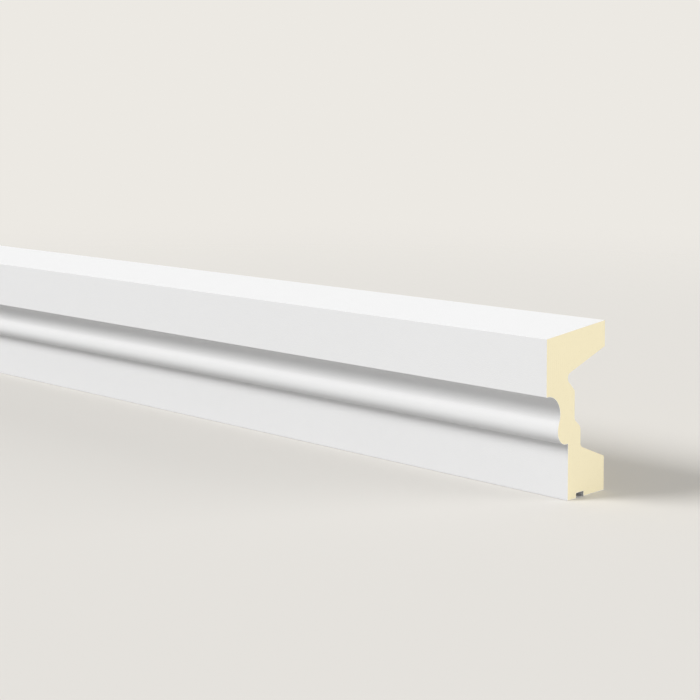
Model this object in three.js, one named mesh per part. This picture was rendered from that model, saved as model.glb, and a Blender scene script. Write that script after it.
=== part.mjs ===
// Window sill moulding: a length of rigid foam, moulded to a classical section and cut square at both ends.
// Down the front run a sloping sill, a fascia, a cavetto that turns into a bead, and a lower fascia.
// The underside has a drip groove. The back is hollow between two flat strips.
// Units are millimetres: +X runs along the length, the front faces -Y, the flat back +Y, and +Z is up.
// The origin is level with the underside, below the middle of the length and of the whole depth.
import * as THREE from "three";

// Overall size
const LENGTH = 1000;
const DEPTH = 83; // from the fascia to the flat back
const HEIGHT = 150; // at the back, where the sill is highest

// Front section: depths run back from the fascia, heights run up from the underside
const WEATHERING_FALL = 7.6; // drop of the sill from the back to the fascia
const FASCIA_FOOT_HEIGHT = 93;
const SOFFIT_DEPTH = 2.3; // flat strip under the fascia, ahead of the cavetto
const CAVETTO_RADIUS = 17;
const BEAD_FRONT_DEPTH = 16.15; // where the bead stands furthest forward
const BEAD_FRONT_HEIGHT = 61;
const BEAD_LOWER_RADIUS = 12;
const LOWER_FASCIA_DEPTH = 30.5;

// Drip groove in the underside
const GROOVE_SETBACK = 12.2; // behind the lower fascia
const GROOVE_WIDTH = 10.5;
const GROOVE_HEIGHT = 4.4;

// Hollow back: three upright walls, set further from the fascia as they go down, joined by slopes
const UPPER_STRIP_HEIGHT = 23;
const LOWER_STRIP_HEIGHT = 30.3;
const UPPER_WALL = { depth: 29.8, top: 109, foot: 103.3, topRadius: 4.5 };
const MIDDLE_WALL = { depth: 39.6, top: 94.1, foot: 68.5, topRadius: 5 };
const LOWER_WALL = { depth: 48.4, top: 61.5, foot: 44, topRadius: 7 };
const WALL_FOOT_RADIUS = 4.5;

// Every arc is cut into twice this many chords
const ARC_CHORD_PAIRS = 10;

const whiteCoat = new THREE.MeshStandardMaterial({ color: 0xeeeeee, roughness: 0.55, metalness: 0 });
const cutFoam = new THREE.MeshStandardMaterial({ color: 0xf1e7c4, roughness: 0.9, metalness: 0 });

const point = (depth, height) => new THREE.Vector2(depth, height);

// Adds a line to a rounded corner of the outline, and the arc that turns it towards the next corner.
function turnRoundedCorner(outline, before, corner, after, radius) {
  const back = before.clone().sub(corner).normalize();
  const onward = after.clone().sub(corner).normalize();
  const halfAngle = back.angleTo(onward) / 2;
  const tangentLength = radius / Math.tan(halfAngle);
  const towardsCentre = back.clone().add(onward).normalize();
  const centre = corner.clone().addScaledVector(towardsCentre, radius / Math.sin(halfAngle));
  const start = corner.clone().addScaledVector(back, tangentLength).sub(centre);
  const end = corner.clone().addScaledVector(onward, tangentLength).sub(centre);
  const clockwise = back.cross(onward) > 0;
  outline.absarc(centre.x, centre.y, radius, start.angle(), end.angle(), clockwise);
}

// Fascia, soffit, cavetto, bead and lower fascia, from the sill's front arris down to the underside.
// The cavetto and the upper half of the bead are tangent arcs, so their places set the bead's upper radius.
function drawFront(outline) {
  const cavettoCentre = point(SOFFIT_DEPTH, FASCIA_FOOT_HEIGHT - CAVETTO_RADIUS);
  const reach = BEAD_FRONT_DEPTH - cavettoCentre.x;
  const drop = cavettoCentre.y - BEAD_FRONT_HEIGHT;
  const beadUpperRadius =
    (reach ** 2 + drop ** 2 - CAVETTO_RADIUS ** 2) / (2 * (CAVETTO_RADIUS - reach));
  const beadUpperCentre = point(BEAD_FRONT_DEPTH + beadUpperRadius, BEAD_FRONT_HEIGHT);
  const beadLowerCentre = point(BEAD_FRONT_DEPTH + BEAD_LOWER_RADIUS, BEAD_FRONT_HEIGHT);
  const turnAngle = cavettoCentre.clone().sub(beadUpperCentre).angle();

  outline.moveTo(0, HEIGHT - WEATHERING_FALL);
  outline.lineTo(0, FASCIA_FOOT_HEIGHT);
  outline.absarc(
    cavettoCentre.x, cavettoCentre.y, CAVETTO_RADIUS, Math.PI / 2, turnAngle - Math.PI, true);
  outline.absarc(
    beadUpperCentre.x, beadUpperCentre.y, beadUpperRadius, turnAngle, Math.PI, false);
  outline.absarc(
    beadLowerCentre.x, beadLowerCentre.y, BEAD_LOWER_RADIUS, Math.PI, 1.5 * Math.PI, false);
  outline.lineTo(LOWER_FASCIA_DEPTH, BEAD_FRONT_HEIGHT - BEAD_LOWER_RADIUS);
  outline.lineTo(LOWER_FASCIA_DEPTH, 0);
}

// Underside with its drip groove, from the lower fascia to the back.
function drawUnderside(outline) {
  const grooveFront = LOWER_FASCIA_DEPTH + GROOVE_SETBACK;
  const grooveBack = grooveFront + GROOVE_WIDTH;
  outline.lineTo(grooveFront, 0);
  outline.lineTo(grooveFront, GROOVE_HEIGHT);
  outline.lineTo(grooveBack, GROOVE_HEIGHT);
  outline.lineTo(grooveBack, 0);
  outline.lineTo(DEPTH, 0);
}

// Lower strip, hollow and upper strip, from the underside up to the back of the sill.
function drawBack(outline) {
  const lowerMouth = point(DEPTH, LOWER_STRIP_HEIGHT);
  const upperMouth = point(DEPTH, HEIGHT - UPPER_STRIP_HEIGHT);
  const turns = [LOWER_WALL, MIDDLE_WALL, UPPER_WALL].flatMap(({ depth, top, foot, topRadius }) => [
    { corner: point(depth, foot), radius: WALL_FOOT_RADIUS },
    { corner: point(depth, top), radius: topRadius },
  ]);
  outline.lineTo(lowerMouth.x, lowerMouth.y);
  turns.forEach(({ corner, radius }, i) => {
    const before = turns[i - 1]?.corner ?? lowerMouth;
    const after = turns[i + 1]?.corner ?? upperMouth;
    turnRoundedCorner(outline, before, corner, after, radius);
  });
  outline.lineTo(upperMouth.x, upperMouth.y);
  outline.lineTo(DEPTH, HEIGHT);
  outline.closePath();
}

function makeSillMoulding() {
  const section = new THREE.Shape();
  drawFront(section);
  drawUnderside(section);
  drawBack(section);
  const geometry = new THREE.ExtrudeGeometry(section, {
    depth: LENGTH,
    steps: 1,
    bevelEnabled: false,
    curveSegments: ARC_CHORD_PAIRS,
  });
  // The first material is for the two cut ends, the second for the faces along the length.
  const moulding = new THREE.Mesh(geometry, [cutFoam, whiteCoat]);
  moulding.name = "sill_moulding";
  // Turns the section's depth to +Y, its height to +Z and the extrusion to +X.
  moulding.rotation.set(Math.PI / 2, Math.PI / 2, 0);
  moulding.position.set(-LENGTH / 2, -DEPTH / 2, 0);
  return moulding;
}

const windowSillMoulding = new THREE.Group();
windowSillMoulding.add(makeSillMoulding());

export default windowSillMoulding;
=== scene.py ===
"""Looks of a window sill moulding: its dressed mesh, its finishes, the studio and the camera.

Sizes are in metres, in the part's own frame: +X runs along the length, the front faces -Y, the hollow
back faces +Y, and +Z is up. The moulding stands on its underside, at height zero.
"""

import logging
import math
from dataclasses import dataclass, field
from enum import Enum, IntEnum
from typing import Any, ClassVar, Iterable, Mapping, Optional, Union

import bmesh
import bpy
from mathutils import Euler, Matrix, Vector


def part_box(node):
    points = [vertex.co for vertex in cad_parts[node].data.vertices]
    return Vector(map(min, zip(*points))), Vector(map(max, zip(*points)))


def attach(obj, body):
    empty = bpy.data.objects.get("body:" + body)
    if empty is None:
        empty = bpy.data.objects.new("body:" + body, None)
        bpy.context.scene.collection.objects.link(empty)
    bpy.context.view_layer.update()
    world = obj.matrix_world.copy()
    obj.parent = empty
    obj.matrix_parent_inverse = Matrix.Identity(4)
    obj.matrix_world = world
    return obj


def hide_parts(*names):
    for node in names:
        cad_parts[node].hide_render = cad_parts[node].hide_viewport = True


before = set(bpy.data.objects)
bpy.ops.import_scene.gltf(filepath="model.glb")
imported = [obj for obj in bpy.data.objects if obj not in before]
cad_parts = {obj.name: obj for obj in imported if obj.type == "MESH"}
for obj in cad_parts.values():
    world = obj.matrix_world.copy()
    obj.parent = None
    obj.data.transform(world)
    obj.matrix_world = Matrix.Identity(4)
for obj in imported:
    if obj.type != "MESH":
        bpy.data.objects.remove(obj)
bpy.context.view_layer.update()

log = logging.getLogger("window_sill_moulding")

MM = 0.001
BODY = "root"
NODE = "sill_moulding"

Colour = tuple[float, float, float, float]
Triple = tuple[float, float, float]
Wire = Union[bpy.types.NodeSocket, float, Colour]
Wires = Mapping[Union[str, int], Wire]


class Surface(IntEnum):
    """The finishes of the moulding, in the order of its material slots."""

    COAT = 0
    CUT_FOAM = 1
    MOULDED_FOAM = 2


class Arithmetic(Enum):
    """What is worked out from two numbers."""

    PLUS = "ADD"
    MINUS = "SUBTRACT"
    TIMES = "MULTIPLY"
    LARGER = "MAXIMUM"
    IS_ABOVE = "GREATER_THAN"


class Ramp(Enum):
    """How a number runs from one end of a range to the other."""

    STRAIGHT = "LINEAR"
    SMOOTH = "SMOOTHSTEP"


class Socket(Enum):
    """What a shared effect takes in or puts out."""

    PLACE = "NodeSocketVector"
    COLOUR = "NodeSocketColor"
    NUMBER = "NodeSocketFloat"


class NodeSheet:
    """A node tree that is wired one node at a time."""

    # The sockets of a colour mix go by number, because its other kinds of mix use the same names.
    MIX_FACTOR: ClassVar[int] = 0
    MIX_LOW: ClassVar[int] = 6
    MIX_HIGH: ClassVar[int] = 7
    MIX_COLOUR: ClassVar[int] = 2

    def __init__(self, tree: bpy.types.NodeTree) -> None:
        """Takes the tree of a material, a world or a node group, and empties it."""
        self.tree = tree
        tree.nodes.clear()

    def add(self, kind: str, wires: Optional[Wires] = None, **settings: Any) -> bpy.types.Node:
        """Adds a node, sets its options and feeds its inputs.

        Args:
            kind: The node's type name.
            wires: A socket to link, or a value to set, for each input by name or number.
            settings: The node's own options.

        Returns:
            The new node.
        """
        node = self.tree.nodes.new(kind)
        for option, value in settings.items():
            setattr(node, option, value)
        for key, wire in (wires or {}).items():
            if isinstance(wire, bpy.types.NodeSocket):
                self.tree.links.new(wire, node.inputs[key])
            else:
                node.inputs[key].default_value = wire
        return node

    def work_out(self, what: Arithmetic, first: Wire, second: Wire) -> bpy.types.NodeSocket:
        """Adds one step of arithmetic and returns its result."""
        return self.add("ShaderNodeMath", {0: first, 1: second}, operation=what.value).outputs[0]

    def blend(self, factor: Wire, low: Wire, high: Wire) -> bpy.types.NodeSocket:
        """Adds a blend of two colours and returns its result."""
        wires = {self.MIX_FACTOR: factor, self.MIX_LOW: low, self.MIX_HIGH: high}
        return self.add("ShaderNodeMix", wires, data_type="RGBA").outputs[self.MIX_COLOUR]

    def remap(self, value: Wire, source: tuple[Wire, Wire], target: tuple[Wire, Wire],
              ramp: Ramp = Ramp.STRAIGHT) -> bpy.types.NodeSocket:
        """Adds a change of range for a value.

        Args:
            value: The value to change.
            source: The range that it comes in.
            target: The range that it leaves in.
            ramp: How it runs between the ends.

        Returns:
            The changed value.
        """
        wires = {
            "Value": value,
            "From Min": source[0],
            "From Max": source[1],
            "To Min": target[0],
            "To Max": target[1],
        }
        return self.add("ShaderNodeMapRange", wires, interpolation_type=ramp.value).outputs[0]

    def noise(self, place: Wire, grain: Wire, detail: float, roughness: float) -> bpy.types.NodeSocket:
        """Adds a soft noise over the surface.

        Args:
            place: The point on the surface.
            grain: About how many lumps lie along a metre.
            detail: How many finer layers of lumps are laid over the first.
            roughness: How strong each finer layer is beside the one before it.

        Returns:
            The noise's value, which is a half on average.
        """
        wires = {"Vector": place, "Scale": grain, "Detail": detail, "Roughness": roughness}
        return self.add("ShaderNodeTexNoise", wires).outputs[0]

    def cells(self, place: Wire, count: Wire) -> bpy.types.Node:
        """Adds a pattern with so many cells along a metre and returns its node."""
        return self.add("ShaderNodeTexVoronoi", {"Vector": place, "Scale": count})

    def relief(self, height: Wire, depth: float, strength: float) -> bpy.types.NodeSocket:
        """Adds a fine relief and returns the normal that shows it."""
        wires = {"Height": height, "Distance": depth, "Strength": strength}
        return self.add("ShaderNodeBump", wires).outputs[0]

    def mix_shaders(self, factor: Wire, low: bpy.types.Node, high: bpy.types.Node) -> bpy.types.Node:
        """Adds a mix of two shaders and returns its node."""
        return self.add("ShaderNodeMixShader", {0: factor, 1: low.outputs[0], 2: high.outputs[0]})


class MaterialSheet(NodeSheet):
    """The node tree of a new material, with the place of each point of the surface in the frame."""

    def __init__(self, name: str) -> None:
        """Makes the material.

        Args:
            name: The material's name.
        """
        self.material = bpy.data.materials.new(name)
        self.material.use_nodes = True
        super().__init__(self.material.node_tree)
        self.place = self.add("ShaderNodeTexCoord").outputs["Object"]

    def end(self, shader: bpy.types.Node) -> bpy.types.Material:
        """Wires a shader to the surface and returns the finished material."""
        self.add("ShaderNodeOutputMaterial", {"Surface": shader.outputs[0]})
        return self.material


class SharedEffect:
    """A shader node group that several finishes place with their own values."""

    def __init__(self, name: str, inputs: Mapping[str, Socket], outputs: Mapping[str, Socket]) -> None:
        """Makes the group with nothing between its inputs and its outputs.

        Args:
            name: The group's name.
            inputs: What each input takes in, by name.
            outputs: What each output puts out, by name.
        """
        self.group = bpy.data.node_groups.new(name, "ShaderNodeTree")
        self.sheet = NodeSheet(self.group)
        for side, sockets in (("INPUT", inputs), ("OUTPUT", outputs)):
            for socket, kind in sockets.items():
                self.group.interface.new_socket(name=socket, in_out=side, socket_type=kind.value)
        self.given = self.sheet.add("NodeGroupInput").outputs

    def put_out(self, results: Wires) -> None:
        """Wires the group's results to its outputs by name."""
        self.sheet.add("NodeGroupOutput", results)

    def place(self, sheet: NodeSheet, wires: Wires) -> bpy.types.Node:
        """Places the group in a material, feeds its inputs and returns its node."""
        return sheet.add("ShaderNodeGroup", wires, node_tree=self.group)


class ToneDrift(SharedEffect):
    """A colour that drifts a little lighter and darker over the surface."""

    FINE_RATIO: ClassVar[float] = 9.0  # lumps of the fine noise to each of the broad one
    MIDDLE: ClassVar[float] = 1.0  # what the two noises come to together, on average

    def __init__(self) -> None:
        """Builds the group from a broad noise and a finer one."""
        super().__init__(
            "tone_drift",
            {"Place": Socket.PLACE, "Colour": Socket.COLOUR, "Grain": Socket.NUMBER,
             "Spread": Socket.NUMBER},
            {"Colour": Socket.COLOUR},
        )
        sheet = self.sheet
        given = self.given
        broad = sheet.noise(given["Place"], given["Grain"], detail=2.0, roughness=0.5)
        fine_grain = sheet.work_out(Arithmetic.TIMES, given["Grain"], self.FINE_RATIO)
        fine = sheet.noise(given["Place"], fine_grain, detail=3.0, roughness=0.6)
        both = sheet.work_out(Arithmetic.PLUS, broad, fine)
        off_middle = sheet.work_out(Arithmetic.MINUS, both, self.MIDDLE)
        drift = sheet.work_out(Arithmetic.TIMES, off_middle, given["Spread"])
        level = sheet.work_out(Arithmetic.PLUS, drift, 1.0)
        toned = sheet.add("ShaderNodeVectorMath", {0: given["Colour"], "Scale": level}, operation="SCALE")
        self.put_out({"Colour": toned.outputs[0]})


class FoamCells(SharedEffect):
    """The small closed cells of rigid foam, with a few larger pores among them."""

    CELL_REACH: ClassVar[float] = 0.6  # of the cells' spacing
    CELL_DEPTH: ClassVar[float] = 0.35  # of a pore's depth
    PORE_RARITY: ClassVar[float] = 0.62  # share of the larger cells that hold no pore

    def __init__(self) -> None:
        """Builds the group from two cell patterns, the finer one everywhere."""
        super().__init__(
            "foam_cells",
            {"Place": Socket.PLACE, "Cells": Socket.NUMBER, "Pores": Socket.NUMBER,
             "Pore Reach": Socket.NUMBER},
            {"Pits": Socket.NUMBER, "Height": Socket.NUMBER},
        )
        sheet = self.sheet
        given = self.given
        cells = sheet.cells(given["Place"], given["Cells"]).outputs
        cell_dip = sheet.remap(cells["Distance"], (0.0, self.CELL_REACH), (1.0, 0.0), Ramp.SMOOTH)
        cell_dip = sheet.work_out(Arithmetic.TIMES, cell_dip, self.CELL_DEPTH)
        pores = sheet.cells(given["Place"], given["Pores"]).outputs
        pore_dip = sheet.remap(pores["Distance"], (0.0, given["Pore Reach"]), (1.0, 0.0), Ramp.SMOOTH)
        lot = sheet.add("ShaderNodeSeparateColor", {"Color": pores["Color"]}).outputs["Red"]
        chosen = sheet.work_out(Arithmetic.IS_ABOVE, lot, self.PORE_RARITY)
        pore_dip = sheet.work_out(Arithmetic.TIMES, pore_dip, chosen)
        pits = sheet.work_out(Arithmetic.LARGER, cell_dip, pore_dip)
        self.put_out({"Pits": pits, "Height": sheet.work_out(Arithmetic.MINUS, 1.0, pits)})


@dataclass(frozen=True)
class CoatFinish:
    """Matt white priming coat, sprayed on at the works. Its grains are lumps along a metre."""

    name: str = "white_coat"
    colour: Colour = (0.875, 0.875, 0.875, 1.0)
    drift_grain: float = 9.0
    drift_spread: float = 0.012
    stipple_grain: float = 1100.0
    stipple_range: tuple[float, float] = (0.3, 0.7)
    stipple_height: float = 0.16 * MM
    stipple_strength: float = 0.7
    dullness: tuple[float, float] = (0.72, 0.84)
    specular: float = 0.15

    def build(self, tone: ToneDrift) -> bpy.types.Material:
        """Makes the coat's material.

        Args:
            tone: The shared drift of tone.

        Returns:
            The new material.
        """
        sheet = MaterialSheet(self.name)
        toned = tone.place(sheet, {
            "Place": sheet.place, "Colour": self.colour,
            "Grain": self.drift_grain, "Spread": self.drift_spread})
        stipple = sheet.noise(sheet.place, self.stipple_grain, detail=2.0, roughness=0.55)
        return sheet.end(sheet.add("ShaderNodeBsdfPrincipled", {
            "Base Color": toned.outputs["Colour"],
            "Roughness": sheet.remap(stipple, self.stipple_range, self.dullness),
            "Specular IOR Level": self.specular,
            "Normal": sheet.relief(stipple, self.stipple_height, self.stipple_strength)}))


@dataclass(frozen=True)
class FoamFinish:
    """Bare cream foam: fine-celled and sawn at the cut ends, closed by its own skin on the back.

    Cells, pores and lumps of tone are counted along a metre. A pore's reach is a share of the pores'
    spacing, and the height of a saw ridge is a share of the relief's depth.
    """

    WAVE_PITCH: ClassVar[float] = math.tau / 20.0  # between the ridges of a wave whose scale is one
    SAW_SWAY: ClassVar[float] = 1.6
    SAW_DETAIL: ClassVar[float] = 2.0
    SAW_DETAIL_SCALE: ClassVar[float] = 0.4

    name: str
    colour: Colour
    # the darker colour painted into the cells and pores: painted shade in these hollows
    pore_shade_colour: Colour
    cells: float
    pores: float
    pore_reach: float
    # how strongly the painted shade darkens the cells and pores
    pore_shade_share: float
    relief_depth: float
    relief_strength: float
    saw_pitch: float = 0.0
    saw_share: float = 0.0
    drift_grain: float = 22.0
    drift_spread: float = 0.02
    dullness: tuple[float, float] = (0.82, 0.95)
    specular: float = 0.2

    def build(self, tone: ToneDrift, cells: FoamCells) -> bpy.types.Material:
        """Makes the foam's material.

        Args:
            tone: The shared drift of tone.
            cells: The shared cells and pores.

        Returns:
            The new material.
        """
        sheet = MaterialSheet(self.name)
        foam = cells.place(sheet, {
            "Place": sheet.place, "Cells": self.cells, "Pores": self.pores, "Pore Reach": self.pore_reach})
        pits = foam.outputs["Pits"]
        # Painted shade: the colour is darkened in the cells and pores, where shade falls inside them.
        pore_shade = sheet.work_out(Arithmetic.TIMES, pits, self.pore_shade_share)
        toned = tone.place(sheet, {
            "Place": sheet.place, "Colour": sheet.blend(pore_shade, self.colour, self.pore_shade_colour),
            "Grain": self.drift_grain, "Spread": self.drift_spread})
        height = foam.outputs["Height"]
        if self.saw_pitch:
            height = sheet.work_out(Arithmetic.PLUS, height, self._saw_ridges(sheet))
        return sheet.end(sheet.add("ShaderNodeBsdfPrincipled", {
            "Base Color": toned.outputs["Colour"],
            "Roughness": sheet.remap(pits, (0.0, 1.0), self.dullness),
            "Specular IOR Level": self.specular,
            "Normal": sheet.relief(height, self.relief_depth, self.relief_strength)}))

    def _saw_ridges(self, sheet: MaterialSheet) -> bpy.types.NodeSocket:
        """Adds the faint upright ridges that a saw leaves.

        Args:
            sheet: The material's nodes.

        Returns:
            The height of the ridges.
        """
        ridges = sheet.add("ShaderNodeTexWave", {
            "Vector": sheet.place, "Scale": self.WAVE_PITCH / self.saw_pitch,
            "Distortion": self.SAW_SWAY, "Detail": self.SAW_DETAIL,
            "Detail Scale": self.SAW_DETAIL_SCALE}, bands_direction="Y")
        return sheet.work_out(Arithmetic.TIMES, ridges.outputs["Fac"], self.saw_share)


CUT_FOAM = FoamFinish(
    name="cut_foam",
    colour=(0.905, 0.815, 0.56, 1.0),
    pore_shade_colour=(0.74, 0.63, 0.39, 1.0),
    cells=2300.0,
    pores=520.0,
    pore_reach=0.34,
    pore_shade_share=0.32,
    relief_depth=0.12 * MM,
    relief_strength=0.35,
    saw_pitch=2.827 * MM,
    saw_share=0.5,
)

MOULDED_FOAM = FoamFinish(
    name="moulded_foam",
    colour=(0.885, 0.795, 0.545, 1.0),
    pore_shade_colour=(0.72, 0.61, 0.38, 1.0),
    cells=900.0,
    pores=150.0,
    pore_reach=0.22,
    pore_shade_share=0.5,
    relief_depth=0.3 * MM,
    relief_strength=0.5,
    drift_grain=11.0,
    drift_spread=0.04,
    dullness=(0.6, 0.85),
)


def section_point(depth: float, height: float) -> Vector:
    """Returns a point of the section: its depth behind the fascia and its height above the underside."""
    return Vector((depth, height))


class SectionPen:
    """Draws a closed section in an upright plane, one stretch at a time."""

    SAG: ClassVar[float] = 0.003 * MM  # the most that a chord may lie off its arc
    FEWEST_CHORDS: ClassVar[int] = 4
    GUARD: ClassVar[float] = 0.1 * MM  # width of the strip on each side of a rounded corner

    def __init__(self, mesh: bmesh.types.BMesh, plane: float, middle: float, start: Vector) -> None:
        """Puts the pen down.

        Args:
            mesh: The mesh that is drawn in.
            plane: The place of the section along the length.
            middle: The depth that lies at the frame's origin.
            start: The first point.
        """
        self._mesh = mesh
        self._plane = plane
        self._middle = middle
        self._finish_layer = mesh.edges.layers.int.new("finish")
        self.finish = Surface.COAT
        self._first = mesh.verts.new(self._place(start))
        self._tip = self._first

    def _place(self, point: Vector) -> Vector:
        """Returns where a point of the section lies in the frame."""
        return Vector((self._plane, point.x - self._middle, point.y))

    def _tip_point(self) -> Vector:
        """Returns the point of the section that the pen is at."""
        return section_point(self._tip.co.y + self._middle, self._tip.co.z)

    def _note_finish(self, before: set[bmesh.types.BMEdge]) -> None:
        """Marks the edges that are new since a stretch began with the pen's finish."""
        for edge in set(self._mesh.edges) - before:
            edge[self._finish_layer] = int(self.finish)

    def line_to(self, point: Vector) -> None:
        """Draws a straight stretch.

        Args:
            point: The point that it ends at.
        """
        before = set(self._mesh.edges)
        self._tip = bmesh.ops.extrude_vert_indiv(self._mesh, verts=[self._tip])["verts"][0]
        step = self._place(point) - self._tip.co
        bmesh.ops.translate(self._mesh, verts=[self._tip], vec=step)
        self._note_finish(before)

    def arc(self, centre: Vector, sweep: float) -> None:
        """Draws an arc from where the pen is.

        Args:
            centre: The centre of the arc.
            sweep: The angle that it turns through, positive from the back towards the top.
        """
        before = set(self._mesh.edges)
        radius = (self._tip_point() - centre).length
        chord = 2.0 * math.acos(1.0 - self.SAG / radius)
        chords = max(self.FEWEST_CHORDS, math.ceil(abs(sweep) / chord))
        swept = bmesh.ops.spin(
            self._mesh, geom=[self._tip], cent=self._place(centre), axis=(1.0, 0.0, 0.0),
            dvec=(0.0, 0.0, 0.0), angle=sweep, space=Matrix.Identity(4), steps=chords,
            use_merge=False, use_normal_flip=False, use_duplicate=False)
        ends = [item for item in swept["geom_last"] if isinstance(item, bmesh.types.BMVert)]
        self._tip = ends[0]
        self._note_finish(before)

    def turn(self, corner: Vector, onward: Vector, radius: float) -> None:
        """Draws up to a corner and round it, on an arc that meets both sides.

        A narrow strip on each side of the arc keeps its smooth shading off the flat faces beside it.

        Args:
            corner: The sharp corner.
            onward: A later point that the turn heads for.
            radius: The radius of the arc.
        """
        back = (self._tip_point() - corner).normalized()
        ahead = (onward - corner).normalized()
        half = back.angle(ahead) / 2.0
        reach = radius / math.tan(half)
        self.line_to(corner + back * (reach + self.GUARD))
        self.line_to(corner + back * reach)
        centre = corner + (back + ahead).normalized() * (radius / math.sin(half))
        left_turn = back.x * ahead.y - back.y * ahead.x < 0.0
        sweep = math.pi - 2.0 * half
        self.arc(centre, sweep if left_turn else -sweep)
        self.line_to(corner + ahead * (reach + self.GUARD))

    def close(self) -> bmesh.types.BMFace:
        """Joins the last point to the first and fills the section.

        Returns:
            The section's face.
        """
        before = set(self._mesh.edges)
        bmesh.ops.contextual_create(self._mesh, geom=[self._tip, self._first])
        self._note_finish(before)
        made = bmesh.ops.contextual_create(self._mesh, geom=list(self._mesh.edges))
        return made["faces"][0]

    def finish_of(self, edge: bmesh.types.BMEdge) -> Surface:
        """Returns the finish that an edge of the section was drawn with."""
        return Surface(edge[self._finish_layer])


@dataclass(frozen=True)
class HollowWall:
    """One of the upright walls of the hollow back."""

    depth: float
    top: float
    foot: float
    top_radius: float


@dataclass
class SillSection:
    """The section of the moulding, from the sill down the front, under, and up the hollow back."""

    depth: float
    height: float
    weathering_fall: float = 7.6 * MM
    fascia_foot: float = 93.0 * MM
    soffit: float = 2.3 * MM
    cavetto_radius: float = 17.0 * MM
    bead_front_depth: float = 16.15 * MM
    bead_front_height: float = 61.0 * MM
    bead_lower_radius: float = 12.0 * MM
    lower_fascia: float = 30.5 * MM
    groove_setback: float = 12.2 * MM
    groove_width: float = 10.5 * MM
    groove_height: float = 4.4 * MM
    upper_strip: float = 23.0 * MM
    lower_strip: float = 30.3 * MM
    walls: tuple[HollowWall, ...] = (
        HollowWall(depth=48.4 * MM, top=61.5 * MM, foot=44.0 * MM, top_radius=7.0 * MM),
        HollowWall(depth=39.6 * MM, top=94.1 * MM, foot=68.5 * MM, top_radius=5.0 * MM),
        HollowWall(depth=29.8 * MM, top=109.0 * MM, foot=103.3 * MM, top_radius=4.5 * MM),
    )
    wall_foot_radius: float = 4.5 * MM
    arris: float = 0.35 * MM

    def draw(self, mesh: bmesh.types.BMesh, plane: float) -> tuple[SectionPen, bmesh.types.BMFace]:
        """Draws the whole section at one place along the length.

        Args:
            mesh: The mesh that is drawn in.
            plane: The place along the length.

        Returns:
            The pen, which knows the finish of each edge, and the section's face.
        """
        middle = self.depth / 2.0
        start = section_point(middle, self.height - self.weathering_fall / 2.0)
        pen = SectionPen(mesh, plane, middle, start)
        self._draw_front(pen)
        self._draw_underside(pen)
        self._draw_back(pen, start)
        return pen, pen.close()

    def _draw_front(self, pen: SectionPen) -> None:
        """Draws the fascia, the cavetto, the bead and the lower fascia's upper end.

        The cavetto and the upper half of the bead are tangent arcs, so their places set the bead's
        upper radius.

        Args:
            pen: The pen, on the sill.
        """
        nose = section_point(0.0, self.height - self.weathering_fall)
        foot = section_point(0.0, self.fascia_foot)
        soffit_back = section_point(self.soffit, self.fascia_foot)
        cavetto = section_point(self.soffit, self.fascia_foot - self.cavetto_radius)
        bead_front = section_point(self.bead_front_depth, self.bead_front_height)
        reach = bead_front.x - cavetto.x
        drop = cavetto.y - bead_front.y
        upper_radius = (reach ** 2 + drop ** 2 - self.cavetto_radius ** 2) / (
            2.0 * (self.cavetto_radius - reach))
        upper_centre = bead_front + Vector((upper_radius, 0.0))
        lower_centre = bead_front + Vector((self.bead_lower_radius, 0.0))
        rise = math.atan2(cavetto.y - upper_centre.y, upper_centre.x - cavetto.x)
        bead_foot = section_point(self.lower_fascia, bead_front.y - self.bead_lower_radius)
        lower_fascia_foot = section_point(self.lower_fascia, 0.0)

        pen.turn(nose, foot, self.arris)
        pen.turn(foot, soffit_back, self.arris)
        pen.line_to(soffit_back)
        pen.arc(cavetto, -(math.pi / 2.0 + rise))
        pen.arc(upper_centre, rise)
        pen.arc(lower_centre, math.pi / 2.0)
        pen.turn(bead_foot, lower_fascia_foot, self.arris)

    def _draw_underside(self, pen: SectionPen) -> None:
        """Draws the lower fascia, the foot with its drip groove, and the heel at the back.

        Args:
            pen: The pen, at the top of the lower fascia.
        """
        groove_front = self.lower_fascia + self.groove_setback
        groove_back = groove_front + self.groove_width
        corners = (
            section_point(self.lower_fascia, 0.0),
            section_point(groove_front, 0.0),
            section_point(groove_front, self.groove_height),
            section_point(groove_back, self.groove_height),
            section_point(groove_back, 0.0),
            section_point(self.depth, 0.0),
        )
        targets = corners[1:] + (section_point(self.depth, self.lower_strip),)
        for corner, onward in zip(corners, targets):
            pen.turn(corner, onward, self.arris)

    def _draw_back(self, pen: SectionPen, start: Vector) -> None:
        """Draws the two flat strips of the back and the hollow between them.

        Args:
            pen: The pen, at the heel.
            start: The point on the sill that the section started from.
        """
        pen.finish = Surface.MOULDED_FOAM
        turns = [(section_point(self.depth, self.lower_strip), self.arris)]
        for wall in self.walls:
            turns.append((section_point(wall.depth, wall.foot), self.wall_foot_radius))
            turns.append((section_point(wall.depth, wall.top), wall.top_radius))
        turns.append((section_point(self.depth, self.height - self.upper_strip), self.arris))
        turns.append((section_point(self.depth, self.height), self.arris))
        targets = [corner for corner, _ in turns[1:]] + [start]
        for (corner, radius), onward in zip(turns, targets):
            pen.turn(corner, onward, radius)
        pen.finish = Surface.COAT


def to_mesh(shape: bmesh.types.BMesh, name: str) -> bpy.types.Mesh:
    """Turns a shape into a mesh.

    Args:
        shape: The shape, which is freed.
        name: The mesh's name.

    Returns:
        The new mesh.
    """
    mesh = bpy.data.meshes.new(name)
    shape.to_mesh(mesh)
    shape.free()
    return mesh


def put_in_scene(name: str, data: bpy.types.ID) -> bpy.types.Object:
    """Makes an object and links it to the scene.

    Args:
        name: The object's name.
        data: Its mesh, lamp or camera.

    Returns:
        The new object.
    """
    made = bpy.data.objects.new(name, data)
    bpy.context.scene.collection.objects.link(made)
    return made


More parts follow.
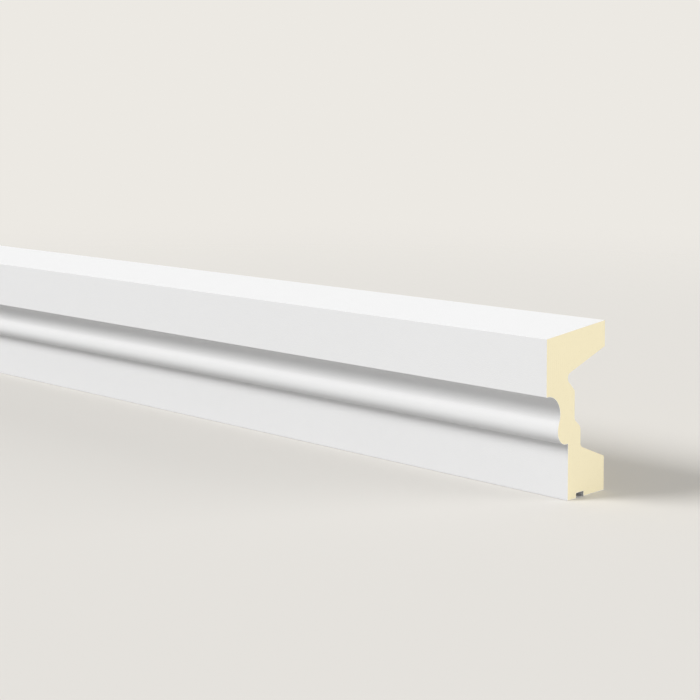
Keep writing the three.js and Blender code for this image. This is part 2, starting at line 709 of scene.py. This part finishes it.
@dataclass
class SillMoulding:
    """One length of the moulding: the section run from end to end, coated, and sawn square."""

    section: SillSection
    low_end: float
    high_end: float
    coat_thickness: float = 0.2 * MM
    smooth_angle: float = math.radians(40.0)
    name: str = NODE + "_dressed"
    piece: Optional[bpy.types.Object] = field(default=None, init=False)

    def build(self) -> bpy.types.Object:
        """Makes the moulding's mesh, with smooth curves and crisp arrises, and its object.

        Returns:
            The new object, with its place in its mesh.
        """
        shape = bmesh.new()
        pen, cap = self.section.draw(shape, self.low_end)
        outline = list(cap.edges)
        run = bmesh.ops.extrude_face_region(shape, geom=[cap], use_keep_orig=True)
        far_points = [item for item in run["geom"] if isinstance(item, bmesh.types.BMVert)]
        far_caps = [item for item in run["geom"] if isinstance(item, bmesh.types.BMFace)]
        length = Vector((self.high_end - self.low_end, 0.0, 0.0))
        bmesh.ops.translate(shape, verts=far_points, vec=length)
        self._mark_long_faces(pen, cap, outline)
        for end in (cap, far_caps[0]):
            self._saw_end(shape, end)
        bmesh.ops.recalc_face_normals(shape, faces=shape.faces[:])
        mesh = to_mesh(shape, self.name)
        mesh.shade_smooth()
        mesh.set_sharp_from_angle(angle=self.smooth_angle)
        self.piece = put_in_scene(self.name, mesh)
        return self.piece

    @staticmethod
    def _mark_long_faces(pen: SectionPen, cap: bmesh.types.BMFace,
                         outline: Iterable[bmesh.types.BMEdge]) -> None:
        """Gives each long face the finish that its edge of the section was drawn with.

        Args:
            pen: The pen that drew the section.
            cap: The face at the first end.
            outline: The edges round that face.
        """
        for edge in outline:
            for face in edge.link_faces:
                if face is not cap:
                    face.material_index = pen.finish_of(edge)

    def _saw_end(self, shape: bmesh.types.BMesh, cap: bmesh.types.BMFace) -> None:
        """Parts a cut end into bare foam and the thin edge of the coat round it.

        Args:
            shape: The moulding's shape.
            cap: The face at that end.
        """
        rim = bmesh.ops.inset_region(
            shape, faces=[cap], thickness=self.coat_thickness, depth=0.0,
            use_boundary=True, use_even_offset=True)["faces"]
        cap.material_index = Surface.CUT_FOAM
        for face in rim:
            beside = {other.material_index for edge in face.edges for other in edge.link_faces
                      if other not in rim and other is not cap}
            coated = Surface.COAT in beside
            face.material_index = Surface.COAT if coated else Surface.CUT_FOAM

    def dress(self, tone: ToneDrift, cells: FoamCells) -> None:
        """Gives the moulding its three finishes, in the order of the surfaces.

        Args:
            tone: The shared drift of tone.
            cells: The shared cells and pores.
        """
        finishes = {
            Surface.COAT: CoatFinish().build(tone),
            Surface.CUT_FOAM: CUT_FOAM.build(tone, cells),
            Surface.MOULDED_FOAM: MOULDED_FOAM.build(tone, cells),
        }
        for surface in Surface:
            self.piece.data.materials.append(finishes[surface])

    def join_frame(self) -> None:
        """Stands the moulding in for its solid and lets it ride on the body."""
        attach(self.piece, BODY)
        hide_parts(NODE)


@dataclass(frozen=True)
class SunLamp:
    """A distant lamp: where it shines from, how strong it is and how many degrees wide it looks."""

    name: str
    towards_lamp: Triple
    strength: float
    width: float

    def build(self) -> bpy.types.Object:
        """Makes the lamp.

        Returns:
            The new lamp.
        """
        lamp = bpy.data.lights.new(self.name, "SUN")
        lamp.energy = self.strength
        lamp.angle = math.radians(self.width)
        made = put_in_scene(self.name, lamp)
        made.rotation_euler = Vector(self.towards_lamp).to_track_quat("Z", "Y").to_euler()
        return made


@dataclass
class Studio:
    """A plain pale floor under an even dome of light, with a soft key and a low fill."""

    backdrop: Colour = (0.84, 0.815, 0.77, 1.0)
    floor_tone: Colour = (0.735, 0.715, 0.68, 1.0)
    floor_bounce: Colour = (0.43, 0.426, 0.42, 1.0)
    floor_radius: float = 9.0
    floor_sides: int = 96
    floor_gap: float = 0.05 * MM
    floor_fade: tuple[float, float] = (0.6, 2.6)
    dome_colour: Colour = (1.0, 1.0, 1.0, 1.0)
    dome_strength: float = 0.45
    lamps: tuple[SunLamp, ...] = (
        SunLamp("key", (-0.73, -1.0, 0.97), strength=2.33, width=26.0),
        SunLamp("fill", (0.8, 0.55, 0.1), strength=3.12, width=50.0),
    )

    def build(self) -> None:
        """Makes the floor, the dome and the lamps, and sets plain colours for the picture."""
        self._make_floor()
        self._make_dome()
        for lamp in self.lamps:
            lamp.build()
        bpy.context.scene.view_settings.view_transform = "Standard"

    def _make_floor(self) -> bpy.types.Object:
        """Makes the round floor, just under the moulding.

        Returns:
            The new floor.
        """
        shape = bmesh.new()
        under = Matrix.Translation((0.0, 0.0, -self.floor_gap))
        bmesh.ops.create_circle(
            shape, cap_ends=True, segments=self.floor_sides, radius=self.floor_radius, matrix=under)
        mesh = to_mesh(shape, "floor")
        mesh.materials.append(self._floor_material())
        return put_in_scene("floor", mesh)

    def _floor_material(self) -> bpy.types.Material:
        """Makes the floor's material: pale to look at, dimmer as a source of bounced light.

        Returns:
            The new material, which fades into the backdrop far from the moulding.
        """
        sheet = MaterialSheet("pale_floor")
        distance = sheet.add("ShaderNodeVectorMath", {0: sheet.place}, operation="LENGTH").outputs["Value"]
        fade = sheet.remap(distance, self.floor_fade, (0.0, 1.0), Ramp.SMOOTH)
        looked_at = sheet.add("ShaderNodeLightPath").outputs["Is Camera Ray"]
        pale = sheet.add("ShaderNodeBsdfDiffuse", {"Color": self.floor_tone})
        dimmer = sheet.add("ShaderNodeBsdfDiffuse", {"Color": self.floor_bounce})
        clear = sheet.add("ShaderNodeBsdfTransparent")
        faded = sheet.mix_shaders(fade, pale, clear)
        return sheet.end(sheet.mix_shaders(looked_at, dimmer, faded))

    def _make_dome(self) -> None:
        """Makes the even dome of light, which the camera sees as the backdrop."""
        world = bpy.data.worlds.new("studio")
        world.use_nodes = True
        sheet = NodeSheet(world.node_tree)
        looked_at = sheet.add("ShaderNodeLightPath").outputs["Is Camera Ray"]
        dome = sheet.add("ShaderNodeBackground", {
            "Color": self.dome_colour, "Strength": self.dome_strength})
        backdrop = sheet.add("ShaderNodeBackground", {"Color": self.backdrop})
        both = sheet.mix_shaders(looked_at, dome, backdrop)
        sheet.add("ShaderNodeOutputWorld", {"Surface": both.outputs[0]})
        bpy.context.scene.world = world


@dataclass(frozen=True)
class PhotoCamera:
    """The camera at the photograph's own viewing angle, a little above the sill and off its right end.

    It turns and tilts by degrees. The lens and the sensor are in millimetres, as cameras have them, and
    the shift is a share of the picture's width.
    """

    station: Triple = (1.2923, -1.0824, 0.3487)
    turn: float = 44.499
    tilt_down: float = 3.037
    lens: float = 80.44
    sensor: float = 36.0
    shift: float = -0.25
    nearest: float = 0.01
    furthest: float = 100.0

    def build(self) -> bpy.types.Object:
        """Makes the camera and hands it to the scene.

        Returns:
            The new camera.
        """
        camera = bpy.data.cameras.new("camera")
        camera.lens = self.lens
        camera.sensor_width = self.sensor
        camera.shift_y = self.shift
        camera.clip_start = self.nearest
        camera.clip_end = self.furthest
        made = put_in_scene("camera", camera)
        made.location = self.station
        made.rotation_euler = Euler((math.radians(90.0 - self.tilt_down), 0.0, math.radians(self.turn)))
        bpy.context.scene.camera = made
        return made


def main() -> None:
    """Builds the camera, the moulding and the studio, and reports each piece."""
    logging.basicConfig(level=logging.INFO, format="%(name)s: %(message)s")
    PhotoCamera().build()
    low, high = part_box(NODE)
    section = SillSection(depth=high.y - low.y, height=high.z - low.z)
    moulding = SillMoulding(section, low.x, high.x)
    piece = moulding.build()
    moulding.dress(ToneDrift(), FoamCells())
    moulding.join_frame()
    log.info("%s: %d faces, in place of %s", piece.name, len(piece.data.polygons), NODE)
    Studio().build()
    log.info("studio ready")


if __name__ == "__main__":
    main()
